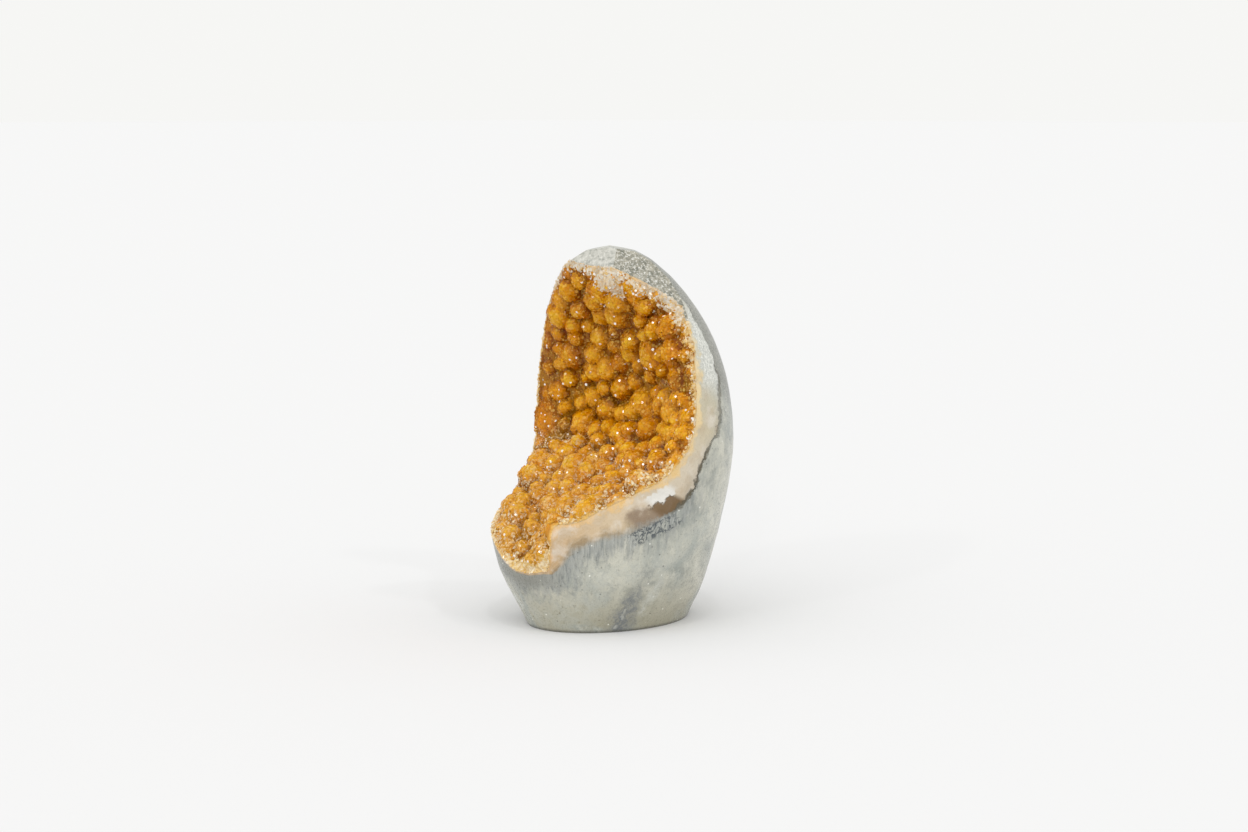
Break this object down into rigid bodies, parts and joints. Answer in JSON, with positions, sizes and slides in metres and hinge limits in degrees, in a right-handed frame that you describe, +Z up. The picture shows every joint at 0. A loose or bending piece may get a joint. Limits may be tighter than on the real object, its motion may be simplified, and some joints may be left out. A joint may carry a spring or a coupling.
{
  "type": "amethyst geode",
  "caption": "Free-standing cut-base geode: a polished grey stone egg opened on a saddle-shaped hollow lined with orange, heat-coloured quartz crystals.",
  "frame": {"origin": "centre of the footprint's box on the flat ground base, where it rests", "axes": "+Z up, -Y out of the crystal hollow to the front, +X to the viewer's right when facing the hollow"},
  "size_m": [0.1006, 0.0964, 0.1501],
  "materials": {
    "stone": "polished",
    "crystal": "glassy druse"
  },
  "bodies": {
    "root": {"geode_stone": "stone", "crystal_crust": "crystal"}
  },
  "joints": []
}
